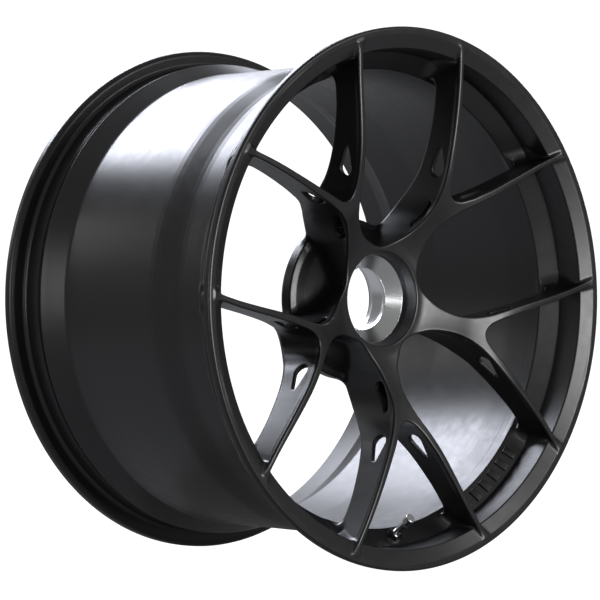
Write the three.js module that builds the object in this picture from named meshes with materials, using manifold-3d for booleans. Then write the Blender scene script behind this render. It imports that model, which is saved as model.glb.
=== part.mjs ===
// Forged racing wheel rim, centre-lock, five Y spokes, 20 x 12J.
// Millimetres, +Z up. Wheel axis = Y, street side toward -Y, origin at the hub mounting plane on the axis.
import * as THREE from 'three';
import { mergeVertices } from 'three/addons/utils/BufferGeometryUtils.js';
import Module from 'manifold-3d';

const wasm = await Module();
wasm.setup();

// ---------------------------------------------------------------- driving dimensions
const MOUNT_Y = -47.0;          // hub mounting plane, measured from the middle of the rim width (offset 47)
const R_FLANGE = 270.9;         // outermost radius of both flanges
const Y_FLANGE = 161.4;         // plane of the outermost circle
const Y_FACE = 164.3;           // outer faces of both flanges
const Y_BEAD = 152.4;           // half the 12 inch (304.8 mm) width between flanges
const R_SEAT = 253.65;          // bead seat radius, 20 inch rim
const R_WELL = 236.3;           // drop centre
const R_BARREL = 241.4;         // long part of the barrel
const R_BARREL_IN = 236.5;
const R_WELL_IN = 232.0;
const R_WALL_IN = 249.6;        // short wall behind the street-side lip
const SPOKES = 5;
const SPOKE_ANGLE = 55.54;      // axis of the first Y, degrees from +X toward +Z
const R_FORK = 123.5;           // where the Y splits, at its front face
const R_PAD = 80.5;             // round pad on the mounting plane
const R_RECESS = 48.2;          // recess around the cone seat, front edge
const R_BORE = 45.4;            // bore that carries the cone insert
const CONE_FRONT_Y = -94.6;
const CONE_THROAT_R = 31.6;
const CONE_THROAT_Y = -83.5;
const PIN_PCD = 130.0;          // circle of the drive-pin bushes
const BUSH_R = 12.0, BUSH_BORE_R = 8.0, BUSH_LEN = 13.0;
const GAP = 0.3;                // clearance between pieces that touch
const SEG = 60;                 // facets around the rim

// ---------------------------------------------------------------- helpers
const rad = (d) => d * Math.PI / 180;

function solid(geometry) {
  let g = geometry.index ? geometry.toNonIndexed() : geometry.clone();
  const only = new THREE.BufferGeometry();
  only.setAttribute('position', g.getAttribute('position').clone());
  g = mergeVertices(only, 1e-4);
  const p = g.getAttribute('position');
  const idx = Array.from(g.index.array);
  const keep = [];
  let vol = 0;
  const a = new THREE.Vector3(), b = new THREE.Vector3(), c = new THREE.Vector3();
  for (let i = 0; i < idx.length; i += 3) {
    const [i0, i1, i2] = [idx[i], idx[i + 1], idx[i + 2]];
    if (i0 === i1 || i1 === i2 || i0 === i2) continue;
    a.fromBufferAttribute(p, i0); b.fromBufferAttribute(p, i1); c.fromBufferAttribute(p, i2);
    vol += a.dot(b.cross(c));
    keep.push(i0, i1, i2);
  }
  if (vol < 0) for (let i = 0; i < keep.length; i += 3) [keep[i], keep[i + 1]] = [keep[i + 1], keep[i]];
  return new wasm.Manifold(new wasm.Mesh({
    numProp: 3,
    vertProperties: new Float32Array(p.array),
    triVerts: new Uint32Array(keep),
  }));
}

function geometryOf(manifold) {
  const m = manifold.getMesh();
  const n = m.vertProperties.length / m.numProp;
  const pos = new Float32Array(n * 3);
  for (let i = 0; i < n; i++) for (let k = 0; k < 3; k++) pos[3 * i + k] = m.vertProperties[m.numProp * i + k];
  const g = new THREE.BufferGeometry();
  g.setAttribute('position', new THREE.BufferAttribute(pos, 3));
  g.setIndex(new THREE.BufferAttribute(new Uint32Array(m.triVerts), 1));
  return g;
}

// closed ring profile [r, y] spun about the Y axis
function lathe(profile, seg = SEG, phase = 0) {
  const pts = profile.map(([r, y]) => new THREE.Vector2(r, y));
  if (pts[0].x > 1e-6 || pts[pts.length - 1].x > 1e-6) pts.push(pts[0].clone());
  return new THREE.LatheGeometry(pts, seg, phase, Math.PI * 2);
}

// outline in the X-Z plane, extruded along Y from y0 to y1
function prismY(outline, y0, y1) {
  const s = new THREE.Shape(outline.map(([x, z]) => new THREE.Vector2(x, z)));
  const g = new THREE.ExtrudeGeometry(s, { depth: y1 - y0, bevelEnabled: false, curveSegments: 6 });
  g.rotateX(Math.PI / 2);
  g.translate(0, y1, 0);
  return g;
}

const at = (r, deg) => [r * Math.cos(rad(deg)), r * Math.sin(rad(deg))];

function mesh(name, geometry, color, roughness, metalness) {
  const m = new THREE.Mesh(geometry, new THREE.MeshStandardMaterial({ color, roughness, metalness }));
  m.name = name;
  return m;
}

// ---------------------------------------------------------------- rim barrel, spun profile
const barrelProfile = [
  // street-side flange and bead seat
  [263.1, -163.4], [268.4, -Y_FACE], [R_FLANGE, -Y_FLANGE], [269.4, -157.2],
  [264.8, -153.9], [258.0, -Y_BEAD], [R_SEAT, -149.6],
  [252.2, -134.0], [253.3, -130.6], [251.8, -126.4],
  // drop centre
  [R_WELL, -109.0], [R_WELL, -65.0],
  // long barrel
  [R_BARREL, -50.0], [R_BARREL + 0.5, 96.0],
  // inner bead seat and flange
  [251.8, 119.5], [254.0, 124.5], [252.4, 131.0], [R_SEAT, 149.6], [258.0, Y_BEAD],
  [264.8, 153.9], [269.4, 157.2], [R_FLANGE, Y_FLANGE], [268.4, Y_FACE],
  [256.5, Y_FACE], [251.2, 158.6],
  // inside of the barrel, back to front
  [248.2, 128.0], [247.0, 121.0], [R_BARREL_IN, 95.0],
  [R_BARREL_IN, -48.0], [R_WELL_IN, -63.0],
  [R_WELL_IN, -114.2], [R_WALL_IN - 0.2, -128.0], [R_WALL_IN + 0.2, -156.6],
];
let rim = solid(lathe(barrelProfile));

// ---------------------------------------------------------------- spokes and hub
// front and back of the spoke disc as a spun band, cut to the Y outline below
const discProfile = [
  [40, -112.9], [50, -113.0], [64, -116.2], [92, -130.0], [124, -146.0], [142, -152.4], [164, -156.9], [205, -160.9],
  [251, -162.7], [261.5, -163.2],
  [261.5, -156.5], [252.0, -150.0], [251.2, -133.0], [236.0, -126.0], [205, -123.0],
  [165, -112.8], [140, -101.5], [112, -81.5], [90, -70.0], [70, -64.0], [40, -64.0],
];
let disc = solid(lathe(discProfile, 30));

// half-angle of the Y outline against radius, outer and fork side (degrees from the Y axis)
const OUTER = [[53.6, 36], [54.6, 29.5], [58, 23.0], [63, 16.8], [69, 12.2], [77, 8.8],
  [88, 6.7], [98, 6.15], [109, 6.8], [122, 8.5], [137, 11.0], [155, 13.5], [180, 15.85],
  [205, 17.6], [243, 20.0], [250, 20.9], [264, 25.5]];
const INNER = [[123.5, 0], [124.5, 2.0], [128, 4.4], [135, 6.55], [147, 9.0], [168, 12.15],
  [196, 14.95], [241, 18.3], [248, 18.3], [264, 13.5]];

// half-angle of the hollow behind each stem
const STEM_HOLLOW = [[88, 3.2], [98, 2.9], [108, 3.2], [117, 3.6]];

for (let k = 0; k < SPOKES; k++) {
  const mid = SPOKE_ANGLE + 36 - 72 * k;                   // window between two Ys
  const big = [];
  for (const [r, h] of OUTER) big.push(at(r, mid - (36 - h)));
  for (const [r, h] of OUTER.slice(1).reverse()) big.push(at(r, mid + (36 - h)));
  disc = disc.subtract(solid(prismY(big, -175, -30)));
  const axis = SPOKE_ANGLE - 72 * k;                        // window inside the fork
  const fork = [];
  for (const [r, h] of INNER) fork.push(at(r, axis - h));
  for (const [r, h] of INNER.slice(1).reverse()) fork.push(at(r, axis + h));
  disc = disc.subtract(solid(prismY(fork, -175, -30)));
}

// side-to-side lightening holes: one through each arm just outside the fork, one through each stem
function teardrop(len, rBig, rSmall) {
  // round end at the origin, pointed end toward +x
  const pts = [];
  for (let i = 0; i <= 5; i++) { const a = Math.PI / 2 + Math.PI * i / 5; pts.push(new THREE.Vector2(rBig * Math.cos(a), rBig * Math.sin(a))); }
  for (let i = 0; i <= 2; i++) { const a = -Math.PI / 2 + Math.PI * i / 2; pts.push(new THREE.Vector2(len + rSmall * Math.cos(a), rSmall * Math.sin(a))); }
  return new THREE.Shape(pts);
}
function sideHole(x, z, dirDeg, y, tiltDeg, shape, reach) {
  const g = new THREE.ExtrudeGeometry(shape, { depth: 2 * reach, bevelEnabled: false });
  g.translate(0, 0, -reach);
  const d = new THREE.Vector3(Math.cos(rad(dirDeg)), 0, Math.sin(rad(dirDeg)));
  const back = new THREE.Vector3(0, 1, 0);
  const t = rad(tiltDeg);
  const ex = d.clone().multiplyScalar(Math.cos(t)).addScaledVector(back, -Math.sin(t));
  const ey = d.clone().multiplyScalar(Math.sin(t)).addScaledVector(back, Math.cos(t));
  const ez = ex.clone().cross(ey);
  const m = new THREE.Matrix4().makeBasis(ex, ey, ez);
  m.setPosition(x, y, z);
  g.applyMatrix4(m);
  return solid(g);
}
for (let k = 0; k < SPOKES; k++) {
  const axis = SPOKE_ANGLE - 72 * k;
  for (const s of [-1, 1]) {
    const p0 = at(145.5, axis + s * 10.6), p1 = at(205, axis + s * 16.7);
    const dir = Math.atan2(p1[1] - p0[1], p1[0] - p0[0]) * 180 / Math.PI;
    disc = disc.subtract(sideHole(p0[0], p0[1], dir, -132.2, 9, teardrop(18.5, 7.5, 2.4), 16));
  }
  const q = at(89, axis);
  disc = disc.subtract(sideHole(q[0], q[1], axis, -116.0, 24, teardrop(24, 5.6, 2.2), 24));
}

// the stems are hollow from behind, with a skin left at the front
const skin = solid(lathe([[86.5, -116.2], [92, -118.2], [124, -134.3], [140, -139.5], [140, -40], [86.5, -40]], 30));
for (let k = 0; k < SPOKES; k++) {
  const axis = SPOKE_ANGLE - 72 * k;
  const hollow = [];
  for (const [r, h] of STEM_HOLLOW) hollow.push(at(r, axis - h));
  for (const [r, h] of [...STEM_HOLLOW].reverse()) hollow.push(at(r, axis + h));
  disc = disc.subtract(solid(prismY(hollow, -175, -45)).intersect(skin));
}

// hub pad on the mounting plane
const pad = solid(lathe([[38, -81], [59, -81], [70, -72.5], [75.5, -66.0], [R_PAD, -64.5], [R_PAD, -49.0],
  [R_PAD - 2, MOUNT_Y], [38, MOUNT_Y]]));
rim = rim.add(disc).add(pad);

// recess, bore for the cone insert and its back shoulder
rim = rim.subtract(solid(lathe([[0, -120], [R_RECESS + 6, -120], [R_RECESS, -112.4], [45.9, -101.4], [R_BORE, -96.0],
  [R_BORE, -52.0], [41.5, -52.0], [41.5, -49.0], [43.5, -40], [0, -40]], 40)));

// drive-pin bush holes from the back of the pad
for (let k = 0; k < SPOKES; k++) {
  const [x, z] = at(PIN_PCD / 2, SPOKE_ANGLE + 36 - 72 * k);
  const h = new THREE.CylinderGeometry(BUSH_R + GAP, BUSH_R + GAP, 40, 20);
  h.translate(x, MOUNT_Y - BUSH_LEN - GAP - 0.2 + 20, z);
  rim = rim.subtract(solid(h));
}
// shallow lightening pockets between the bushes, behind each spoke
for (let k = 0; k < SPOKES; k++) {
  const axis = SPOKE_ANGLE - 72 * k;
  const pocket = [];
  for (const a of [-9, -4.5, 0, 4.5, 9]) pocket.push(at(76.5, axis + a));
  for (const a of [9, 4.5, 0, -4.5, -9]) pocket.push(at(58, axis + a));
  rim = rim.subtract(solid(prismY(pocket, -57, -40)));
}

// ---------------------------------------------------------------- valve place and hole
const VALVE_ANGLE = SPOKE_ANGLE - 144;       // between the arms of the lowest Y
const vr = 240.6, vy = -121.0;               // on the conical band
const band = new THREE.Vector2(R_WELL_IN - R_WALL_IN + 0.2, -114.2 + 128.0).normalize();
const nr = -band.y, ny = band.x;             // normal of the band, toward the axis and the street side
const vBase = new THREE.Vector3(...[at(vr, VALVE_ANGLE)[0], vy, at(vr, VALVE_ANGLE)[1]]);
const vDir = new THREE.Vector3(nr * Math.cos(rad(VALVE_ANGLE)), ny, nr * Math.sin(rad(VALVE_ANGLE))).normalize();
const vQuat = new THREE.Quaternion().setFromUnitVectors(new THREE.Vector3(0, 1, 0), vDir);
function placed(geometry) {
  const g = geometry.clone();
  g.applyQuaternion(vQuat);
  g.translate(vBase.x, vBase.y, vBase.z);
  return g;
}
const cyl = (r, s0, s1, seg = 32) => { const g = new THREE.CylinderGeometry(r, r, s1 - s0, seg); g.translate(0, (s0 + s1) / 2, 0); return g; };
const WALL = 4.6;                            // thickness left between the two spot faces
rim = rim.subtract(solid(placed(cyl(9.6, -0.5, 14))));
rim = rim.subtract(solid(placed(cyl(10.4, -22, -0.5 - WALL))));
rim = rim.subtract(solid(placed(cyl(5.7, -8, 4))));

// five plain raised bars on the band, in one window
const barDepth = 1.0;
for (let i = 0; i < 5; i++) {
  const a = SPOKE_ANGLE - 108 - 11 + i * 5.5;
  const rr = 240.7, yy = -121.1;
  const dir = new THREE.Vector3(nr * Math.cos(rad(a)), ny, nr * Math.sin(rad(a))).normalize();
  const along = new THREE.Vector3(band.x * Math.cos(rad(a)), band.y, band.x * Math.sin(rad(a))).normalize();
  const side = along.clone().cross(dir);
  const b = new THREE.BoxGeometry(5.0, 2.6 + 2 * barDepth, 12.0);
  b.applyMatrix4(new THREE.Matrix4().makeBasis(side, dir, along));
  b.translate(rr * Math.cos(rad(a)), yy, rr * Math.sin(rad(a)));
  b.translate(dir.x * -1.0, dir.y * -1.0, dir.z * -1.0);
  rim = rim.add(solid(b));
}

// ---------------------------------------------------------------- assemble, origin on the mounting plane
const group = new THREE.Group();
group.name = 'forged_racing_wheel_rim';
const wheel = new THREE.Group();
wheel.name = 'wheel';
wheel.position.set(0, -MOUNT_Y, 0);
group.add(wheel);

wheel.add(mesh('rim_forging', geometryOf(rim), 0x1b1b1e, 0.42, 0.3));

// cone insert: machined seat, throat and flared back bore
wheel.add(mesh('centre_cone_insert', lathe([
  [R_BORE - GAP, CONE_FRONT_Y - 0.9], [R_BORE - GAP, -52.0 - GAP], [39.0, -52.0 - GAP], [39.0, -56.0],
  [CONE_THROAT_R + 0.4, -78.5], [CONE_THROAT_R, -80.5], [CONE_THROAT_R, CONE_THROAT_Y], [44.3, CONE_FRONT_Y],
], 40), 0xc9ccd0, 0.28, 1.0));

for (let k = 0; k < SPOKES; k++) {
  const [x, z] = at(PIN_PCD / 2, SPOKE_ANGLE + 36 - 72 * k);
  const bush = mesh(`drive_pin_bush_${k + 1}`, lathe([
    [BUSH_R, 0.8], [BUSH_R, BUSH_LEN], [BUSH_BORE_R + 0.0, BUSH_LEN], [BUSH_BORE_R, 1.2], [BUSH_BORE_R + 1.2, 0], [BUSH_R - 0.8, 0],
  ], 20), 0x8d9094, 0.35, 1.0);
  bush.rotation.x = Math.PI;                              // mouth toward the car
  bush.position.set(x, MOUNT_Y - GAP, z);
  wheel.add(bush);
}

// valve assembly along its own axis (s = distance from the band toward the tip)
const valve = new THREE.Group();
valve.name = 'valve';
valve.position.copy(vBase);
valve.quaternion.copy(vQuat);
wheel.add(valve);
const S0 = -0.5;                                           // spot face, street side
const S1 = S0 - WALL;                                      // spot face, tyre side
const TIP = 30.0;
// stem: tube with a head on the tyre side; core chamber at the tip
valve.add(mesh('valve_stem', lathe([
  [1.5, S1 - 5.2], [8.2, S1 - 5.2], [8.2, S1 - 2.9], [4.1, S1 - 2.9], [4.1, TIP - 7.5], [3.8, TIP - 7.0], [3.8, TIP - 0.6],
  [3.3, TIP], [2.7, TIP], [2.7, TIP - 9.0], [1.5, TIP - 10.0],
], 32), 0xb9bcc0, 0.3, 1.0));
valve.add(mesh('valve_grommet', lathe([
  [4.4, S1 - 2.6], [8.4, S1 - 2.6], [8.4, S1 - GAP], [5.4, S1 - GAP], [5.4, S0 - 0.6], [4.4, S0 - 0.6],
], 32), 0x101010, 0.85, 0.0));
valve.add(mesh('valve_washer', lathe([[4.5, S0 + GAP], [8.2, S0 + GAP], [8.2, S0 + 1.3], [4.5, S0 + 1.3]], 32), 0x9a9da1, 0.3, 1.0));
const nutG = solid(new THREE.CylinderGeometry(7.4, 7.4, 5.6, 6).translate(0, S0 + 1.6 + 2.8, 0))
  .intersect(solid(lathe([[0, S0 + 1.6], [7.3, S0 + 1.6], [7.3, S0 + 6.0], [6.2, S0 + 7.2], [0, S0 + 7.2]], 36)))
  .subtract(solid(cyl(4.4, S0, S0 + 9, 24)));
valve.add(mesh('valve_nut', geometryOf(nutG), 0x2a2b2e, 0.35, 0.9));
// core
valve.add(mesh('valve_core_body', lathe([
  [1.35, TIP - 7.6], [2.0, TIP - 7.6], [2.0, TIP - 4.4], [2.4, TIP - 4.2], [2.4, TIP - 1.2], [1.35, TIP - 1.2],
], 20), 0xb08d3f, 0.3, 1.0));
valve.add(mesh('valve_core_seal', lathe([[2.3, TIP - 6.6], [2.5, TIP - 6.3], [2.5, TIP - 5.5], [2.3, TIP - 5.2]], 20), 0x111111, 0.8, 0.0));
valve.add(mesh('valve_core_pin', lathe([
  [0, TIP - 9.6], [1.15, TIP - 9.6], [1.15, TIP - 8.7], [0.55, TIP - 8.5], [0.55, TIP - 0.6], [0, TIP - 0.6],
], 16), 0xc0a050, 0.3, 1.0));
valve.add(mesh('valve_core_spring', lathe([
  [0.72, TIP - 4.6], [1.15, TIP - 4.6], [1.15, TIP - 1.8], [0.72, TIP - 1.8],
], 16), 0xb5b8bb, 0.35, 1.0));
// cap: shell and its soft seal
const capOuter = solid(lathe([[0, TIP - 6.6], [4.9, TIP - 6.6], [5.1, TIP - 6.2], [5.1, TIP + 2.6], [4.5, TIP + 3.4], [0, TIP + 3.4]], 36));
const capBore = solid(lathe([[0, TIP - 8], [4.1, TIP - 8], [4.1, TIP + 1.9], [0, TIP + 1.9]], 32));
let capG = capOuter.subtract(capBore);
for (let i = 0; i < 12; i++) {
  const a = i / 12 * Math.PI * 2;
  const n = new THREE.CylinderGeometry(0.55, 0.55, 6.4, 6);
  n.translate(5.3 * Math.cos(a), TIP - 1.9, 5.3 * Math.sin(a));
  capG = capG.subtract(solid(n));
}
valve.add(mesh('valve_cap', geometryOf(capG), 0x17171a, 0.4, 0.3));
valve.add(mesh('valve_cap_seal', lathe([[1.4, TIP + 0.3], [3.8, TIP + 0.3], [3.8, TIP + 1.6], [1.4, TIP + 1.6]], 24), 0x0c0c0c, 0.85, 0.0));

export default group;
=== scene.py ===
import math
import bpy
import bmesh
import numpy as np
from mathutils import Matrix, Vector


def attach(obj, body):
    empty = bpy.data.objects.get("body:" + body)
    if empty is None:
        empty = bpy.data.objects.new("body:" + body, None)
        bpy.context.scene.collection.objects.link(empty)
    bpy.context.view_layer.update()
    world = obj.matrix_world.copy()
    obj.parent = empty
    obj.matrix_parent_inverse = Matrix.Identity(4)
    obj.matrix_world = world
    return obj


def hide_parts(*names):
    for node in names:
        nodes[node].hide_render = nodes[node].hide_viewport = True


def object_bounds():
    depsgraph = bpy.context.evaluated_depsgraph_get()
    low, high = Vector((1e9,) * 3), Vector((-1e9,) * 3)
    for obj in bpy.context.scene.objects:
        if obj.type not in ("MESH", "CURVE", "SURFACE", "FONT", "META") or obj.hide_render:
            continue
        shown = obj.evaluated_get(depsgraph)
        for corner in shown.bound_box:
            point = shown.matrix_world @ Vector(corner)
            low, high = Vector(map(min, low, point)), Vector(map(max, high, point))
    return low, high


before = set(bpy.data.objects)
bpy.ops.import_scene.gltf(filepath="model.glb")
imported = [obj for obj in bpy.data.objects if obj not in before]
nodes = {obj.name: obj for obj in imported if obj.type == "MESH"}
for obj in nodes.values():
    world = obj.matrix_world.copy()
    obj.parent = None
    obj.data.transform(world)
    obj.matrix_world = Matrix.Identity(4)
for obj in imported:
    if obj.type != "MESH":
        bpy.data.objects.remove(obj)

cad_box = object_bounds()

# ------------------------------------------------------------------ sizes, millimetres, wheel-centred frame
# (y = 0 in the middle of the rim width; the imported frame's origin is the hub mounting plane, 47 mm inboard of... y = -47)
MOUNT_Y = -47.0
SPOKE_ANGLE = 55.54

# ------------------------------------------------------------------ small numeric helpers
def smin(a, b, k):
    h = np.maximum(k - np.abs(a - b), 0.0) / k
    return np.minimum(a, b) - h * h * (k * 0.25)


def smax(a, b, k):
    return -smin(-a, -b, k)


def catmull(points, per=10):
    p = np.array(points, float)
    p = np.vstack([2 * p[0] - p[1], p, 2 * p[-1] - p[-2]])
    out = []
    for i in range(1, len(p) - 2):
        p0, p1, p2, p3 = p[i - 1], p[i], p[i + 1], p[i + 2]
        d = [max(np.linalg.norm(b - a), 1e-6) ** 0.5 for a, b in ((p0, p1), (p1, p2), (p2, p3))]
        t0, t1 = 0.0, d[0]
        t2 = t1 + d[1]
        t3 = t2 + d[2]
        for t in np.linspace(t1, t2, per, endpoint=False):
            a1 = (t1 - t) / (t1 - t0) * p0 + (t - t0) / (t1 - t0) * p1
            a2 = (t2 - t) / (t2 - t1) * p1 + (t - t1) / (t2 - t1) * p2
            a3 = (t3 - t) / (t3 - t2) * p2 + (t - t2) / (t3 - t2) * p3
            b1 = (t2 - t) / (t2 - t0) * a1 + (t - t0) / (t2 - t0) * a2
            b2 = (t3 - t) / (t3 - t1) * a2 + (t - t1) / (t3 - t1) * a3
            out.append((t2 - t) / (t2 - t1) * b1 + (t - t1) / (t2 - t1) * b2)
    out.append(p[-2])
    return np.array(out)


def rounded(corners, closed=True, step=14.0):
    """Polygon with a radius at each corner (x, y, radius) -> dense polyline; arcs get one point per `step` degrees."""
    n = len(corners)
    out = []
    for i, (x, y, rad) in enumerate(corners):
        if not closed and i in (0, n - 1):
            out.append((x, y))
            continue
        a = np.array(corners[i - 1][:2], float)
        b = np.array((x, y), float)
        c = np.array(corners[(i + 1) % n][:2], float)
        u, v = a - b, c - b
        lu, lv = np.linalg.norm(u), np.linalg.norm(v)
        u, v = u / lu, v / lv
        ang = math.acos(max(-1.0, min(1.0, float(u @ v))))
        turn = math.pi - ang
        if rad <= 0 or turn < 0.01:
            out.append((x, y))
            continue
        t = min(rad * math.tan(turn / 2), 0.48 * lu, 0.48 * lv)
        r = t / math.tan(turn / 2)
        p, q = b + u * t, b + v * t
        m = (u + v) / np.linalg.norm(u + v)
        cen = b + m * (r / math.sin(ang / 2))
        k = max(2, int(math.ceil(math.degrees(turn) / step)))
        a0 = math.atan2(*(p - cen)[::-1])
        a1 = math.atan2(*(q - cen)[::-1])
        d = (a1 - a0 + math.pi) % (2 * math.pi) - math.pi
        for j in range(k + 1):
            w = a0 + d * j / k
            out.append((cen[0] + r * math.cos(w), cen[1] + r * math.sin(w)))
    return np.array(out)


def poly_sdf(px, py, poly):
    """Signed distance to a closed polygon, negative inside."""
    shape = np.broadcast(px, py).shape
    x = np.broadcast_to(px, shape).ravel()
    y = np.broadcast_to(py, shape).ravel()
    d = np.full(x.shape, 1e9)
    inside = np.zeros(x.shape, bool)
    q = np.vstack([poly, poly[:1]])
    for (ax, ay), (bx, by) in zip(q[:-1], q[1:]):
        ex, ey = bx - ax, by - ay
        L = ex * ex + ey * ey
        if L < 1e-12:
            continue
        wx, wy = x - ax, y - ay
        t = np.clip((wx * ex + wy * ey) / L, 0, 1)
        d = np.minimum(d, (wx - ex * t) ** 2 + (wy - ey * t) ** 2)
        c = (ay > y) != (by > y)
        if c.any():
            xi = ax + (y - ay) * ex / (ey if ey else 1e-12)
            inside ^= c & (x < xi)
    d = np.sqrt(d)
    return np.where(inside, -d, d).reshape(shape)


# ------------------------------------------------------------------ profiles
FRONT_CUT = -100.0
RING_FRONT = [  # (r, y, corner radius), tyre side then cavity side, street end of the rim section
    (236.3, -84.0, 0), (232.0, -84.0, 0), (232.0, -114.2, 1.0), (249.5, -128.0, 2.0), (249.8, -156.6, 0.9),
    (263.1, -163.6, 0.9), (270.9, -164.4, 2.5), (270.9, -152.4, 9.0), (253.65, -152.4, 4.5),
    (252.3, -135.0, 5.0), (253.5, -131.3, 2.5), (251.9, -127.0, 4.0), (236.3, -109.5, 6.0)]
BARREL = [  # open line: tyre side from the cut to the back, then the inside back to the cut
    (236.32 - 0.05, FRONT_CUT - 1.2, 0), (236.3, FRONT_CUT + 0.6, 0), (236.3, -76.0, 90.0), (241.3, -43.0, 90.0), (241.9, 97.5, 9.0),
    (251.9, 119.5, 3.0), (254.2, 124.4, 1.6), (252.5, 130.5, 4.0), (253.65, 152.4, 4.5), (270.9, 152.4, 9.0),
    (270.9, 164.4, 2.5), (257.0, 164.4, 1.4), (251.3, 159.3, 1.6), (248.7, 127.5, 6.0), (246.9, 120.0, 5.0),
    (236.9, 98.0, 8.0), (236.7, 40.0, 120.0), (232.0, -70.0, 300.0), (232.0, FRONT_CUT + 0.6, 0), (232.0 + 0.05, FRONT_CUT - 1.2, 0)]
PAD = [(36, -84, 0), (54, -84, 0), (60, -80, 6), (70, -72.5, 5), (76, -66.5, 3), (83, -64.5, 1.5), (83, -52.5, 2.5), (79, -47, 1.2), (36, -47, 0)]
OUTER = [(53.4, 36), (53.9, 32), (55.6, 27), (58.6, 22.0), (62.3, 17.5), (66.5, 13.9), (71, 11.2), (77, 8.9),
         (88, 6.7), (97, 6.15), (106, 6.5), (115, 7.5), (123, 8.65), (132, 10.2), (148, 12.6), (160, 14.05), (175, 15.45),
         (190, 16.6), (205, 17.6), (230, 19.1), (249, 20.25), (264, 21.1), (285, 22.3)]
INNER = [(123.4, 0), (123.8, 1.2), (125.4, 2.9), (129, 4.75), (134, 6.25), (140, 7.75), (147, 9.0), (162, 11.4), (180, 13.45),
         (196, 14.95), (212, 16.2), (228, 17.35), (248, 18.75), (264, 19.7), (285, 21.0)]
FACE = [(30, -112.9), (50, -113.0), (57, -114.0), (66, -117.3), (80, -123.8), (92, -130.0), (108, -138.8), (124, -146.0), (140, -151.8),
        (160, -156.3), (180, -158.9), (205, -160.9), (235, -162.3), (251, -162.9), (264, -163.6), (290, -165)]
BACK = [(30, -58.5), (60, -59), (74, -60.3), (86, -62.3), (98, -66.8), (112, -75.5), (130, -91.0), (140, -99.8), (150, -106.4),
        (165, -112.8), (180, -117.5), (205, -123.0), (222, -124.5), (236, -126), (252, -136), (266, -150), (290, -170)]


def polar(r, deg):
    return (r * math.cos(math.radians(deg)), r * math.sin(math.radians(deg)))


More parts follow.
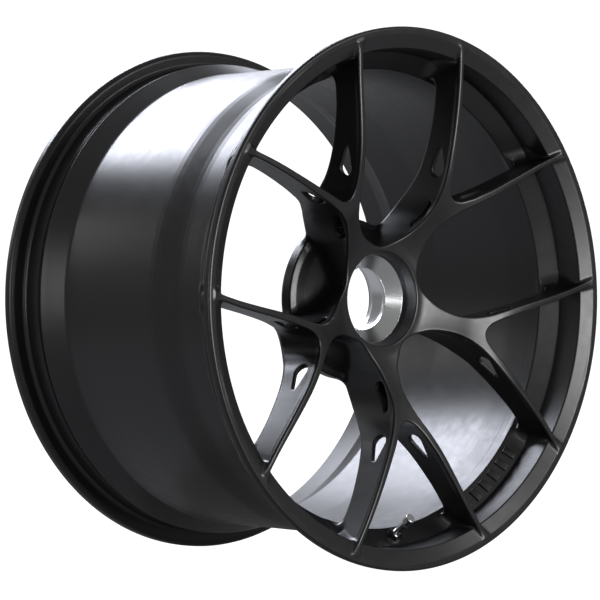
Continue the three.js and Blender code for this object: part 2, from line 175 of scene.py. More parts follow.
# ------------------------------------------------------------------ field of the forged front
def front_mesh():
    step = 1.05
    n = 264
    dth = 72.0 / n
    th = -36.0 + dth * np.arange(n)                     # periodic
    r = np.arange(39.0, 273.0 + step, step)
    y = np.arange(-166.5, -43.5, step)
    k0 = np.argmin(np.abs(y - FRONT_CUT))
    T = np.radians(th)[:, None]
    X2, Z2 = r[None, :] * np.cos(T), r[None, :] * np.sin(T)
    # outline distance: inside the windows is outside the metal
    side = [polar(a, 36 - h) for a, h in OUTER]
    curve = catmull(side, 8)
    win = np.vstack([curve[::-1] * [1, -1], curve[1:]])
    d = np.full(X2.shape, -1e9)
    for s in (-36, 36):
        c, sn = math.cos(math.radians(-s)), math.sin(math.radians(-s))
        xr, zr = X2 * c - Z2 * sn, X2 * sn + Z2 * c
        d = np.maximum(d, -poly_sdf(xr, zr, win))
    side = [polar(a, h) for a, h in INNER]
    curve = catmull(side, 8)
    fork = np.vstack([curve[::-1] * [1, -1], curve[1:]])
    f32 = np.float32
    DO = d.astype(f32)[:, :, None]
    DI = -poly_sdf(X2, Z2, fork).astype(f32)[:, :, None]
    R = r.astype(f32)[None, :, None]
    Y = y.astype(f32)[None, None, :]

    def table(points):
        c = catmull(points, 8)
        v = np.interp(r, c[:, 0], c[:, 1])
        g = np.gradient(v, r)
        return v.astype(f32)[None, :, None], (1 / np.sqrt(1 + g * g)).astype(f32)[None, :, None]

    def smooth(x, a, b):
        t = np.clip((x - a) / (b - a), 0, 1)
        return t * t * (3 - 2 * t)

    yf, cf = table(FACE)
    yb, cb = table(BACK)
    behind = Y - yf
    # behind the front band of each spoke the walls step in, more on the outer side than inside the fork
    io = np.interp(r, [60, 80, 100, 120, 145, 170, 200, 236], [0, 0.5, 1.8, 2.8, 3.4, 3.0, 2.0, 1.5]).astype(f32)[None, :, None]
    ii = np.interp(r, [124, 150, 180, 236], [0.3, 0.3, 0.8, 0.8]).astype(f32)[None, :, None]
    g = smooth(behind, 2.4, 8.5).astype(f32)
    draft = (0.010 * np.maximum(behind, 0)).astype(f32)
    front = -behind * cf
    back = (Y - yb) * cb
    wall = np.maximum(DO + io * g, DI + ii * g) - draft
    F = smax(smax(wall, front, f32(2.4)), back, f32(4.0))
    F = smax(F, R - f32(262.8), f32(2.0))
    # the stems are hollow from behind
    hollow = np.maximum(np.maximum(DO + 4.2 + io, DI + 5.5), np.maximum(11.5 - behind, 86.5 - R))
    F = smax(F, -hollow, f32(2.4))
    # pad, then ring
    pad = poly_sdf(r[:, None], y[None, :], rounded(PAD)).astype(f32)[None]
    F = smin(F, pad, f32(9.0))
    ring = poly_sdf(r[:, None], y[None, :], rounded(RING_FRONT)).astype(f32)[None]
    F = smin(F, ring, (4.5 + 12.5 * smooth(Y, -152.0, -126.0)).astype(f32))
    # bore with its recess
    rb = np.interp(y, [-120, -112.4, -101.4, -96, -52.2, -52.0, -49.0, -46, -40], [49.2, 48.2, 45.9, 45.4, 45.4, 41.6, 41.6, 43.0, 46])
    F = smax(F, (rb.astype(f32)[None, None, :] - R) * f32(0.97), f32(1.6))
    # bush holes and pockets in the back
    X3, Z3 = X2.astype(f32)[:, :, None], Z2.astype(f32)[:, :, None]
    hole = np.full(X3.shape, 1e3, f32)
    for s in (-36, 36):
        cx, cz = polar(65.0, s)
        hole = np.minimum(hole, np.sqrt((X3 - cx) ** 2 + (Z3 - cz) ** 2) - f32(12.35))
    F = smax(F, -np.maximum(hole, f32(-60.6) - Y), f32(0.9))
    q1 = np.abs(X3 - 67.0) - 3.5
    q2 = np.abs(Z3) - 6.0
    pocket = np.sqrt(np.maximum(q1, 0) ** 2 + np.maximum(q2, 0) ** 2) + np.minimum(np.maximum(q1, q2), 0) - 5.0
    F = smax(F, -np.maximum(pocket, f32(-57.0) - Y), f32(1.2))

    # side-to-side teardrop holes
    def tear(u, v, r1, r2, h):
        px, py = np.abs(v), u
        b = (r1 - r2) / h
        a = math.sqrt(1 - b * b)
        k = -b * px + a * py
        return np.where(k < 0, np.sqrt(px * px + py * py) - r1,
                        np.where(k > a * h, np.sqrt(px * px + (py - h) ** 2) - r2, a * px + b * py - r1))

    def side_hole(F, p, deg, yc, tilt, r1, r2, h, half, k):
        e = np.array(polar(1, deg))
        u = (X3 - p[0]) * e[0] + (Z3 - p[1]) * e[1]
        w = (Z3 - p[1]) * e[0] - (X3 - p[0]) * e[1]
        v = Y - yc
        t = math.radians(tilt)
        hole = tear(u * math.cos(t) - v * math.sin(t), u * math.sin(t) + v * math.cos(t), r1, r2, h).astype(f32)
        hole = np.maximum(hole, np.abs(w) - half)
        return smax(F, -hole, f32(k))

    for s in (-1, 1):
        p0, p1 = polar(145.5, s * 10.6), polar(205, s * 16.7)
        ang = math.degrees(math.atan2(p1[1] - p0[1], p1[0] - p0[0]))
        F = side_hole(F, p0, ang, -132.2, 9, 7.6, 2.4, 18.5, 14.0, 1.8)
    F = side_hole(F, polar(89, 0), 0.0, -116.0, 24, 5.6, 2.2, 24.0, 20.0, 1.8)

    # ---- naive surface nets on the periodic curvilinear grid
    F = F[:, :, :].astype(np.float32)
    # the mesh stops at the cut outside r = 200 (the barrel is a spun piece from there on)
    nr, ny = len(r), len(y)
    S = F < 0
    Sn = np.roll(S, -1, axis=0)
    def corner(A, An):
        return [A[:, :-1, :-1], A[:, :-1, 1:], A[:, 1:, :-1], A[:, 1:, 1:], An[:, :-1, :-1], An[:, :-1, 1:], An[:, 1:, :-1], An[:, 1:, 1:]]
    cs = corner(S, Sn)
    cnt = sum(c.astype(np.int8) for c in cs)
    act = (cnt > 0) & (cnt < 8)
    jj = np.arange(nr - 1)[None, :, None]
    kk = np.arange(ny - 1)[None, None, :]
    act &= ~((r[jj] > 215) & (kk >= k0))
    ids = -np.ones(act.shape, np.int64)
    ci, cj, ck = np.nonzero(act)
    nv = len(ci)
    ids[ci, cj, ck] = np.arange(nv)
    cif = (ci + 1) % n
    val = np.empty((nv, 2, 2, 2), np.float32)
    for a, ii in ((0, ci), (1, cif)):
        for b in (0, 1):
            for c in (0, 1):
                val[:, a, b, c] = F[ii, cj + b, ck + c]
    acc = np.zeros((nv, 3))
    num = np.zeros(nv)
    for ax in range(3):
        for b in (0, 1):
            for c in (0, 1):
                lo, hi = [0, 0, 0], [0, 0, 0]
                o = [x for x in range(3) if x != ax]
                lo[o[0]] = hi[o[0]] = b
                lo[o[1]] = hi[o[1]] = c
                hi[ax] = 1
                v0, v1 = val[:, lo[0], lo[1], lo[2]], val[:, hi[0], hi[1], hi[2]]
                m = (v0 < 0) != (v1 < 0)
                t = np.where(m, v0 / np.where(m, v0 - v1, 1), 0)
                pt = np.tile(np.array(lo, float), (nv, 1))
                pt[:, ax] += t
                acc += pt * m[:, None]
                num += m
    g = acc / num[:, None] + np.stack([ci, cj, ck], 1)

    def sample(gp):
        i = np.floor(gp).astype(int)
        i[:, 1] = np.clip(i[:, 1], 0, nr - 2)
        i[:, 2] = np.clip(i[:, 2], 0, ny - 2)
        f = gp - i
        out = 0
        for a in (0, 1):
            for b in (0, 1):
                for c in (0, 1):
                    w = (f[:, 0] if a else 1 - f[:, 0]) * (f[:, 1] if b else 1 - f[:, 1]) * (f[:, 2] if c else 1 - f[:, 2])
                    out = out + w * F[(i[:, 0] + a) % n, i[:, 1] + b, i[:, 2] + c]
        return out

    def gradient(gp, e=0.5):
        gr = []
        for ax in range(3):
            p, q = gp.copy(), gp.copy()
            p[:, ax] += e
            q[:, ax] -= e
            gr.append((sample(p) - sample(q)) / (2 * e))
        gr = np.stack(gr, 1)
        rr = r[0] + gp[:, 1] * step
        scale = np.stack([rr * math.radians(dth), np.full(len(gp), step), np.full(len(gp), step)], 1)
        return gr / scale, scale

    for _ in range(2):
        gr, scale = gradient(g)
        s = sample(g) / np.maximum((gr ** 2).sum(1), 0.25)
        mv = -gr * s[:, None] / scale
        g += np.clip(mv, -0.45, 0.45)
    gr, scale = gradient(g)
    gr /= np.maximum(np.linalg.norm(gr, axis=1), 1e-6)[:, None]
    tt = np.radians(th[0] + g[:, 0] * dth)
    rr = r[0] + g[:, 1] * step
    yy = y[0] + g[:, 2] * step
    pos = np.stack([rr * np.cos(tt), yy, rr * np.sin(tt)], 1)
    nor = np.stack([gr[:, 1] * np.cos(tt) - gr[:, 0] * np.sin(tt), gr[:, 2], gr[:, 1] * np.sin(tt) + gr[:, 0] * np.cos(tt)], 1)

    # quads, with wrap-around flags for the first cell row
    quads, wraps = [], []
    Sn_full = Sn
    def add(q, flip, wrap):
        ok = (q >= 0).all(1)
        q, flip, wrap = q[ok], flip[ok], wrap[ok]
        q[flip] = q[flip][:, ::-1]
        wrap[flip] = wrap[flip][:, ::-1]
        quads.append(q)
        wraps.append(wrap)
    # edges along theta
    i, j, k = np.nonzero(S[:, 1:-1, 1:-1] != Sn_full[:, 1:-1, 1:-1])
    j += 1; k += 1
    q = np.stack([ids[i, j - 1, k - 1], ids[i, j, k - 1], ids[i, j, k], ids[i, j - 1, k]], 1)
    add(q, ~S[i, j, k], np.zeros(q.shape, bool))
    # edges along r
    i, j, k = np.nonzero(S[:, :-1, 1:-1] != S[:, 1:, 1:-1])
    k += 1
    im = (i - 1) % n
    w = i == 0
    q = np.stack([ids[im, j, k - 1], ids[im, j, k], ids[i, j, k], ids[i, j, k - 1]], 1)
    z = np.zeros(len(i), bool)
    add(q, ~S[i, j, k], np.stack([w, w, z, z], 1))
    # edges along y
    i, j, k = np.nonzero(S[:, 1:-1, :-1] != S[:, 1:-1, 1:])
    j += 1
    im = (i - 1) % n
    w = i == 0
    q = np.stack([ids[im, j - 1, k], ids[i, j - 1, k], ids[i, j, k], ids[im, j, k]], 1)
    z = np.zeros(len(i), bool)
    add(q, ~S[i, j, k], np.stack([w, z, z, w], 1))
    quads = np.vstack(quads)
    wraps = np.vstack(wraps)
    P, N, Q = [], [], []
    for c in range(5):
        a = math.radians(SPOKE_ANGLE + 72 * c)
        ca, sa = math.cos(a), math.sin(a)
        P.append(np.stack([pos[:, 0] * ca - pos[:, 2] * sa, pos[:, 1], pos[:, 0] * sa + pos[:, 2] * ca], 1))
        N.append(np.stack([nor[:, 0] * ca - nor[:, 2] * sa, nor[:, 1], nor[:, 0] * sa + nor[:, 2] * ca], 1))
        Q.append(quads + nv * np.where(wraps, (c - 1) % 5, c))
    return np.vstack(P), np.vstack(N), np.vstack(Q)


def spun(profile, seg, closed=False):
    """Spun surface about Y with its own normals."""
    p = np.asarray(profile, float)
    m = len(p)
    if closed:
        d = np.roll(p, -1, 0) - np.roll(p, 1, 0)
    else:
        d = np.gradient(p, axis=0)
    nrm = np.stack([d[:, 1], -d[:, 0]], 1)
    nrm /= np.linalg.norm(nrm, axis=1)[:, None]
    a = np.arange(seg) * 2 * math.pi / seg
    P = np.stack([p[:, 0][:, None] * np.cos(a), np.repeat(p[:, 1][:, None], seg, 1), p[:, 0][:, None] * np.sin(a)], 2).reshape(-1, 3)
    N = np.stack([nrm[:, 0][:, None] * np.cos(a), np.repeat(nrm[:, 1][:, None], seg, 1), nrm[:, 0][:, None] * np.sin(a)], 2).reshape(-1, 3)
    rows = m if closed else m - 1
    i = np.repeat(np.arange(rows), seg)
    j = np.tile(np.arange(seg), rows)
    i2, j2 = (i + 1) % m, (j + 1) % seg
    Q = np.stack([i * seg + j, i2 * seg + j, i2 * seg + j2, i * seg + j2], 1)
    return P, N, Q


def subdivide_line(p, most):
    out = [p[0]]
    for a, b in zip(p[:-1], p[1:]):
        k = max(1, int(math.ceil(np.linalg.norm(b - a) / most)))
        for j in range(1, k + 1):
            out.append(a + (b - a) * j / k)
    return np.array(out)


def edge_safe_profile(p, keep=0.35):
    """Adds points close to both ends of long straight runs, so that spun normals stay crisp."""
    out = [p[0]]
    for a, b in zip(p[:-1], p[1:]):
        L = np.linalg.norm(b - a)
        if L > 4 * keep:
            out.append(a + (b - a) * keep / L)
            out.append(b - (b - a) * keep / L)
        out.append(b)
    return np.array(out)


def make_object(name, parts, shift=True):
    V, NV, FQ, off = [], [], [], 0
    for P, N, Q in parts:
        V.append(P); NV.append(N); FQ.append(Q + off)
        off += len(P)
    V, NV, FQ = np.vstack(V), np.vstack(NV), np.vstack(FQ)
    V = V.copy()
    if shift:
        V[:, 1] -= MOUNT_Y
    V *= 0.001
    me = bpy.data.meshes.new(name)
    me.vertices.add(len(V))
    me.vertices.foreach_set("co", V.astype(np.float32).ravel())
    me.loops.add(FQ.size)
    me.loops.foreach_set("vertex_index", FQ.astype(np.int32).ravel())
    me.polygons.add(len(FQ))
    me.polygons.foreach_set("loop_start", (np.arange(len(FQ)) * 4).astype(np.int32))
    me.polygons.foreach_set("use_smooth", np.ones(len(FQ), bool))
    me.update(calc_edges=True)
    me.validate()
    # outward check against the given vertex normals, then own normals
    a, b, c = V[FQ[:, 0]], V[FQ[:, 1]], V[FQ[:, 2]]
    fn = np.cross(b - a, V[FQ[:, 3]] - a)
    agree = (fn * NV[FQ[:, 0]]).sum(1).mean()
    if agree < 0:
        me.flip_normals()
    me.normals_split_custom_set_from_vertices(NV.astype(np.float32))
    ob = bpy.data.objects.new(name, me)
    bpy.context.collection.objects.link(ob)
    return ob


import time
_t = time.time()
front = front_mesh()
print("front mesh", len(front[0]), "vertices", len(front[2]), "quads", round(time.time() - _t, 1), "s")
prof = edge_safe_profile(rounded(BARREL, closed=False, step=9.0))
barrel = spun(prof, 360)
rim = make_object("rim_body", [front, barrel])
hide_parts("rim_forging")
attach(rim, "rim")

# ------------------------------------------------------------------ materials
def material(name):
    m = bpy.data.materials.new(name)
    m.use_nodes = True
    nt = m.node_tree
    nt.nodes.clear()
    out = nt.nodes.new("ShaderNodeOutputMaterial")
    bsdf = nt.nodes.new("ShaderNodeBsdfPrincipled")
    nt.links.new(bsdf.outputs[0], out.inputs[0])
    return m, nt, bsdf


def noise(nt, scale, detail=3.0, rough=0.55, coord=None):
    tc = nt.nodes.new("ShaderNodeTexCoord")
    n = nt.nodes.new("ShaderNodeTexNoise")
    n.inputs["Scale"].default_value = scale
    n.inputs["Detail"].default_value = detail
    n.inputs["Roughness"].default_value = rough
    nt.links.new(tc.outputs["Object"], n.inputs["Vector"])
    return n


def ramp(nt, src, lo, hi, a=0.35, b=0.65):
    mr = nt.nodes.new("ShaderNodeMapRange")
    mr.inputs["From Min"].default_value = a
    mr.inputs["From Max"].default_value = b
    mr.inputs["To Min"].default_value = lo
    mr.inputs["To Max"].default_value = hi
    nt.links.new(src, mr.inputs["Value"])
    return mr


def satin_black():
    m, nt, b = material("satin_black_coat")
    b.inputs["Metallic"].default_value = 0.0
    b.inputs["Specular IOR Level"].default_value = 0.62
    n1 = noise(nt, 18.0, 4.0)
    mix = nt.nodes.new("ShaderNodeMix")
    mix.data_type = "RGBA"
    mix.inputs["A"].default_value = (0.0062, 0.0062, 0.0070, 1)
    mix.inputs["B"].default_value = (0.0085, 0.0085, 0.0096, 1)
    nt.links.new(n1.outputs["Fac"], mix.inputs["Factor"])
    nt.links.new(mix.outputs["Result"], b.inputs["Base Color"])
    n2 = noise(nt, 90.0, 3.0)
    rr = ramp(nt, n2.outputs["Fac"], 0.29, 0.34)
    nt.links.new(rr.outputs[0], b.inputs["Roughness"])
    n3 = noise(nt, 1400.0, 2.0, 0.6)
    bump = nt.nodes.new("ShaderNodeBump")
    bump.inputs["Strength"].default_value = 0.05
    bump.inputs["Distance"].default_value = 0.0002
    nt.links.new(n3.outputs["Fac"], bump.inputs["Height"])
    nt.links.new(bump.outputs[0], b.inputs["Normal"])
    return m


def turned_metal(name, base, rough, rings=2600.0, aniso=0.55, strength=0.08):
    """Lathe-turned metal: fine rings about the wheel's axis (Y)."""
    m, nt, b = material(name)
    b.inputs["Metallic"].default_value = 1.0
    b.inputs["Anisotropic"].default_value = aniso
    tg = nt.nodes.new("ShaderNodeTangent")
    tg.direction_type = "RADIAL"
    tg.axis = "Y"
    nt.links.new(tg.outputs[0], b.inputs["Tangent"])
    n1 = noise(nt, 60.0, 4.0)
    mix = nt.nodes.new("ShaderNodeMix")
    mix.data_type = "RGBA"
    mix.inputs["A"].default_value = (*[c * 0.93 for c in base], 1)
    mix.inputs["B"].default_value = (*base, 1)
    nt.links.new(n1.outputs["Fac"], mix.inputs["Factor"])
    nt.links.new(mix.outputs["Result"], b.inputs["Base Color"])
    tc = nt.nodes.new("ShaderNodeTexCoord")
    sep = nt.nodes.new("ShaderNodeSeparateXYZ")
    nt.links.new(tc.outputs["Object"], sep.inputs[0])
    wn = nt.nodes.new("ShaderNodeTexNoise")
    wn.noise_dimensions = "1D"
    wn.inputs["Scale"].default_value = rings
    wn.inputs["Detail"].default_value = 2.0
    nt.links.new(sep.outputs["Y"], wn.inputs["W"])
    rr = ramp(nt, wn.outputs["Fac"], rough * 0.85, rough * 1.2)
    nt.links.new(rr.outputs[0], b.inputs["Roughness"])
    bump = nt.nodes.new("ShaderNodeBump")
    bump.inputs["Strength"].default_value = strength
    bump.inputs["Distance"].default_value = 0.0001
    nt.links.new(wn.outputs["Fac"], bump.inputs["Height"])
    nt.links.new(bump.outputs[0], b.inputs["Normal"])
    return m


def plain(name, base, rough, metal, scale=300.0, bump_strength=0.05):
    m, nt, b = material(name)
    b.inputs["Metallic"].default_value = metal
    n1 = noise(nt, scale, 3.0)
    mix = nt.nodes.new("ShaderNodeMix")
    mix.data_type = "RGBA"
    mix.inputs["A"].default_value = (*[c * 0.85 for c in base], 1)
    mix.inputs["B"].default_value = (*[min(1, c * 1.1) for c in base], 1)
    nt.links.new(n1.outputs["Fac"], mix.inputs["Factor"])
    nt.links.new(mix.outputs["Result"], b.inputs["Base Color"])
    rr = ramp(nt, n1.outputs["Fac"], rough * 0.85, rough * 1.15)
    nt.links.new(rr.outputs[0], b.inputs["Roughness"])
    bump = nt.nodes.new("ShaderNodeBump")
    bump.inputs["Strength"].default_value = bump_strength
    bump.inputs["Distance"].default_value = 0.0002
    nt.links.new(n1.outputs["Fac"], bump.inputs["Height"])
    nt.links.new(bump.outputs[0], b.inputs["Normal"])
    return m


MAT = {
    "black": satin_black(),
    "turned": turned_metal("turned_aluminium", (0.86, 0.87, 0.88), 0.22),
    "steel": turned_metal("ground_steel", (0.5, 0.5, 0.51), 0.28),
    "bright": plain("bright_aluminium", (0.8, 0.81, 0.82), 0.22, 1.0, 700),
    "rubber": plain("moulded_rubber", (0.018, 0.018, 0.018), 0.75, 0.0, 1200, 0.2),
    "brass": plain("turned_brass", (0.72, 0.52, 0.22), 0.25, 1.0, 900),
    "dark": plain("dark_anodised", (0.03, 0.03, 0.034), 0.3, 0.8, 900),
    "cap": plain("moulded_cap_plastic", (0.015, 0.015, 0.017), 0.35, 0.0, 1500, 0.12),
}


def put(ob, mat):
    ob.data.materials.clear()
    ob.data.materials.append(mat)


put(rim, MAT["black"])
for n, ob in nodes.items():
    if n == "rim_forging":
        put(ob, MAT["black"])
    elif n == "centre_cone_insert":
        put(ob, MAT["turned"])
    elif n.startswith("drive_pin_bush"):
        put(ob, MAT["steel"])
    elif n in ("valve_stem", "valve_washer", "valve_cap"):
        put(ob, MAT["bright"])
    elif n == "valve_nut":
        put(ob, MAT["dark"])
    elif n in ("valve_grommet", "valve_core_seal", "valve_cap_seal"):
        put(ob, MAT["rubber"])
    elif n in ("valve_core_body", "valve_core_pin", "valve_core_spring"):
        put(ob, MAT["brass"])


# ------------------------------------------------------------------ small turned pieces
def piece(name, verts, faces, mat, node, body, sharp=32.0):
    v = np.asarray(verts, float).copy()
    v[:, 1] -= MOUNT_Y
    me = bpy.data.meshes.new(name)
    me.from_pydata((v * 0.001).tolist(), [], [tuple(int(i) for i in f) for f in faces])
    me.update()
    bm = bmesh.new()
    bm.from_mesh(me)
    bmesh.ops.recalc_face_normals(bm, faces=bm.faces)
    bm.to_mesh(me)
    bm.free()
    me.polygons.foreach_set("use_smooth", np.ones(len(me.polygons), bool))
    me.set_sharp_from_angle(angle=math.radians(sharp))
    ob = bpy.data.objects.new(name, me)
    bpy.context.collection.objects.link(ob)
    put(ob, mat)
    if node:
        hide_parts(node)
    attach(ob, body)
    return ob


def turned_piece(profile, base, axis, seg, fn=None, most=1.2, step=15.0):
    """Closed (r, s, corner radius) profile turned about base + s * axis; r = 0 ends become poles; fn(r, s, angle) shapes the radius."""
    pts = rounded(profile, closed=True, step=step)
    pts = np.vstack([pts, pts[:1]])
    pts = subdivide_line(edge_safe_profile(pts, 0.12), most)[:-1]
    on_axis = pts[:, 0] < 1e-6
    ax = np.array(axis, float)
    e1 = np.cross(ax, (0.3, 0.2, 0.9))
    e1 /= np.linalg.norm(e1)
    e2 = np.cross(ax, e1)
    ang = np.arange(seg) * 2 * math.pi / seg
    verts, rows = [], []
    for (rr, ss), pole in zip(pts, on_axis):
        if pole:
            rows.append([len(verts)] * seg)
            verts.append(np.array(base) + ax * ss)
            continue
        q = np.full(seg, rr) if fn is None else fn(rr, ss, ang)
        rows.append(list(range(len(verts), len(verts) + seg)))
        for a, w in zip(ang, q):
            verts.append(np.array(base) + ax * ss + (e1 * math.cos(a) + e2 * math.sin(a)) * w)
    faces = []
    m = len(rows)
    for i in range(m):
        k = (i + 1) % m
        if on_axis[i] and on_axis[k]:
            continue
        for j in range(seg):
            l = (j + 1) % seg
            f = [rows[i][j], rows[k][j], rows[k][l], rows[i][l]]
            g = [v for n_, v in enumerate(f) if v not in f[:n_]]
            if len(g) > 2:
                faces.append(g)
    return verts, faces


insert_profile = [(45.1, -95.5, 0.6), (45.1, -52.3, 0.4), (39.0, -52.3, 0.4), (39.0, -56.5, 1.5), (32.1, -78.2, 3.0), (31.6, -81.0, 1.2),
                  (31.6, -83.4, 1.0), (44.3, -94.7, 0.7)]
ip = rounded(insert_profile, step=10.0)
ip = edge_safe_profile(np.vstack([ip, ip[:1]]), 0.25)[:-1]
insert = make_object("cone_seat_insert", [spun(ip, 256, closed=True)])
put(insert, MAT["turned"])
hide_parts("centre_cone_insert")
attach(insert, "rim")

for k in range(5):
    bx_, bz_ = polar(65.0, SPOKE_ANGLE + 36 - 72 * k)
    v, f = turned_piece([(12.0, 0.0, 0.7), (12.0, 13.0, 0.7), (8.0, 13.0, 0.3), (8.0, 1.3, 0.4), (9.3, 0.0, 0.4)],
                        (bx_, MOUNT_Y - 0.3, bz_), (0, -1, 0), 64, most=3.0)
    piece("drive_bush_%d" % (k + 1), v, f, MAT["steel"], "drive_pin_bush_%d" % (k + 1), "rim")

va = math.radians(SPOKE_ANGLE - 144)
bl = math.hypot(-17.4, 13.8)
v_nr, v_ny = -13.8 / bl, -17.4 / bl
v_dir = np.array([v_nr * math.cos(va), v_ny, v_nr * math.sin(va)])
v_dir /= np.linalg.norm(v_dir)
v_base = np.array([240.6 * math.cos(va), -121.0, 240.6 * math.sin(va)])
TIP = 30.0


def stem_radius(rr, ss, ang):
    q = np.full(len(ang), rr)
    if rr > 3.6 and 6.4 < ss < 13.0:
        q -= 0.32 * np.abs(((ss / 0.9 - ang / (2 * math.pi)) % 1.0) * 2 - 1) * min(1.0, (13.0 - ss) / 1.2)
    return q


v, f = turned_piece([(1.5, -10.3, 0.2), (8.2, -10.3, 0.7), (8.2, -8.0, 0.6), (4.1, -8.0, 0.3), (4.1, 22.5, 0.3), (3.8, 23.0, 0.2),
                     (3.8, 29.4, 0.2), (3.3, 30.0, 0.2), (2.7, 30.0, 0.1), (2.7, 21.0, 0.2), (1.5, 20.0, 0.2)],
                    v_base, v_dir, 48, stem_radius, most=0.22)
piece("valve_tube", v, f, MAT["bright"], "valve_stem", "rim", 40.0)


def nut_radius(rr, ss, ang):
    if rr < 5.5:
        return np.full(len(ang), rr)
    hexa = 6.36 / np.cos((ang + math.pi / 6) % (math.pi / 3) - math.pi / 6)
    return np.minimum(np.minimum(rr, hexa), 7.3)


v, f = turned_piece([(4.45, 1.15, 0.3), (6.6, 1.15, 0.2), (7.35, 1.6, 0.3), (7.35, 5.6, 0.5), (6.2, 6.65, 0.4), (4.9, 6.65, 0.2), (4.45, 6.2, 0.2)],
                    v_base, v_dir, 96, nut_radius, most=0.9)
piece("valve_hex_nut", v, f, MAT["dark"], "valve_nut", "rim", 26.0)


def cap_radius(rr, ss, ang):
    q = np.full(len(ang), rr)
    if rr > 4.5 and TIP - 5.4 < ss < TIP + 1.6:
        fade = min(1.0, (ss - (TIP - 5.4)) / 0.5, (TIP + 1.6 - ss) / 0.5)
        q -= 0.36 * fade * (0.5 + 0.5 * np.cos(ang * 18)) ** 2
    return q


v, f = turned_piece([(0, TIP + 3.35, 0), (4.7, TIP + 3.35, 0.9), (5.1, TIP + 2.2, 0.6), (5.1, TIP - 6.5, 0.5), (4.1, TIP - 6.5, 0.2), (4.1, TIP + 1.9, 0.2), (0, TIP + 1.9, 0)],
                    v_base, v_dir, 144, cap_radius, most=0.5)
piece("valve_dust_cap", v, f, MAT["bright"], "valve_cap", "cap", 40.0)

# plain raised bars on the band in one window
bar_v, bar_f = [], []
band_t = np.array([-17.4, 13.8]) / bl
for i in range(6):
    a = math.radians(SPOKE_ANGLE - 108 - 9.75 + i * 3.9)
    up = np.array([v_nr * math.cos(a), v_ny, v_nr * math.sin(a)])
    along = np.array([band_t[0] * math.cos(a), band_t[1], band_t[0] * math.sin(a)])
    sidev = np.cross(along, up)
    c0 = np.array([240.7 * math.cos(a), -121.1, 240.7 * math.sin(a)])
    bm = bmesh.new()
    bmesh.ops.create_cube(bm, size=1.0)
    for vv in bm.verts:
        taper = 0.86 if vv.co.y > 0 else 1.0
        vv.co = Vector((vv.co.x * 8.6 * taper, vv.co.y * 3.2 + 0.3, vv.co.z * 14.5 * (taper + 0.06)))
    bmesh.ops.bevel(bm, geom=list(bm.edges), offset=0.6, segments=4, profile=0.5, affect="EDGES")
    off = len(bar_v)
    bm.verts.ensure_lookup_table()
    for vv in bm.verts:
        bar_v.append(c0 + sidev * vv.co.x + up * vv.co.y + along * vv.co.z)
    for ff in bm.faces:
        bar_f.append([off + q.index for q in ff.verts])
    bm.free()
piece("band_raised_bars", bar_v, bar_f, MAT["black"], None, "rim", 60.0)

# ------------------------------------------------------------------ stage, lights, camera
me = bpy.data.meshes.new("studio_floor")
bm = bmesh.new()
z0 = cad_box[0][2] - 0.0004
n = 24
rows = []
def sweep(t):
    # floor that turns up into a backdrop, along the view direction
    if t < 0.55:
        return -2.2 + t / 0.55 * 4.2, 0.0
    if t < 0.8:
        a = (t - 0.55) / 0.25 * math.pi / 2
        return 2.0 + math.sin(a) * 0.9, 0.9 * (1 - math.cos(a))
    return 2.9, 0.9 + (t - 0.8) / 0.2 * 2.0
AZ = -0.7304
bx, by = math.sin(AZ), -math.cos(AZ)       # toward the camera
rx, ry = math.cos(AZ), math.sin(AZ)        # to the camera's right
for i in range(n + 1):
    s, h = sweep(i / n)
    row = []
    for j in range(n + 1):
        w = -3.5 + 7.0 * j / n
        row.append(bm.verts.new((-bx * s + rx * w, -by * s + ry * w, z0 + h)))
    rows.append(row)
for i in range(n):
    for j in range(n):
        bm.faces.new((rows[i][j], rows[i][j + 1], rows[i + 1][j + 1], rows[i + 1][j]))
bm.normal_update()
bm.to_mesh(me)
bm.free()
for p in me.polygons:
    p.use_smooth = True
floor = bpy.data.objects.new("studio_floor", me)
bpy.context.collection.objects.link(floor)
fm, nt, b = material("studio_white")
b.inputs["Base Color"].default_value = (0.17, 0.17, 0.172, 1)
b.inputs["Roughness"].default_value = 0.8
b.inputs["Emission Color"].default_value = (1.0, 1.0, 1.0, 1)
lp = nt.nodes.new("ShaderNodeLightPath")
lm = nt.nodes.new("ShaderNodeMath")
lm.operation = "MULTIPLY_ADD"
lm.inputs[1].default_value = 0.96
lm.inputs[2].default_value = 0.10
nt.links.new(lp.outputs["Is Camera Ray"], lm.inputs[0])
nt.links.new(lm.outputs[0], b.inputs["Emission Strength"])
put(floor, fm)

world = bpy.data.worlds.new("studio")
bpy.context.scene.world = world
world.use_nodes = True
bg = world.node_tree.nodes["Background"]
bg.inputs[0].default_value = (1.0, 1.0, 1.0, 1)
bg.inputs[1].default_value = 0.23


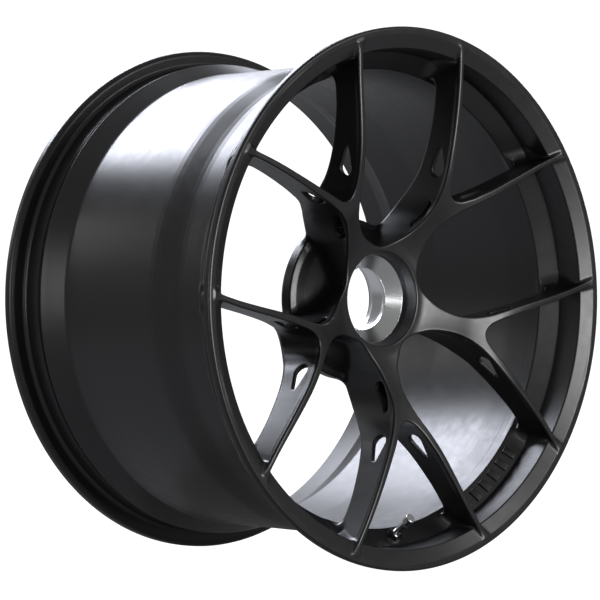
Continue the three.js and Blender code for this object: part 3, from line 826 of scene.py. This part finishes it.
def area(name, pos, target, size, size_y, power, colour=(1, 1, 1)):
    l = bpy.data.lights.new(name, "AREA")
    l.shape = "RECTANGLE"
    l.size, l.size_y = size, size_y
    l.energy = power
    l.color = colour
    o = bpy.data.objects.new(name, l)
    o.location = pos
    d = Vector(target) - Vector(pos)
    o.rotation_euler = d.to_track_quat("-Z", "Y").to_euler()
    bpy.context.collection.objects.link(o)
    return o


def cam_rel(right, up, toward):
    """Point given from the wheel's centre along the camera's right, up and toward-camera directions."""
    return (rx * right + bx * toward, ry * right + by * toward + 0.047, up)


CEN = (0.0, 0.047, 0.0)
for name, pos, w, h, power in [
        ("back_low", (-0.09, 0.45, -1.92), 1.1, 0.70, 2.0),
        ("back_mid", (-0.35, 1.00, -1.68), 1.0, 0.35, 5.0),
        ("back_high", (-0.75, 1.36, -1.33), 0.8, 0.45, 13.5),
        ("back_inner", (-0.87, 1.02, -1.22), 0.4, 0.3, 3.0),
        ("back_left", (-1.22, 1.32, -0.94), 0.45, 0.42, 11.5),
        ("side_left", (-1.60, 0.50, -0.55), 0.25, 0.4, 0.9),
        ("back_right", (1.2, 0.6, -1.6), 0.7, 0.6, 10.0),
        ("front_right", (1.62, 0.15, 1.25), 0.5, 0.7, 13.5),
        ("front_near", (1.25, 0.06, 1.6), 0.35, 0.45, 7.5),
        ("front_left", (-1.5, 0.2, 1.35), 0.28, 0.8, 4.2),
        ("right_high", (1.7, 0.9, 0.6), 0.4, 0.5, 3.0),
        ("front_fill", (0.0, 0.15, 2.3), 0.34, 0.3, 1.6)]:
    area(name, cam_rel(*pos), CEN, w, h, power, (0.86, 0.89, 1.0) if name.startswith("back") else (1, 1, 1))

D, FPX, TX, TZ = 2.47377, 2360.67, -0.00863, -0.001154
cam = bpy.data.cameras.new("camera")
cam.lens = FPX * 36.0 / 600.0
cam.sensor_width = 36.0
cam.clip_end = 50.0
co = bpy.data.objects.new("camera", cam)
co.location = (bx * D + rx * TX, by * D + ry * TX + 0.047, TZ)
co.rotation_euler = Vector((-bx, -by, 0.0)).to_track_quat("-Z", "Y").to_euler()
bpy.context.collection.objects.link(co)
bpy.context.scene.camera = co
try:
    bpy.context.scene.view_settings.view_transform = "Standard"
except TypeError:
    pass
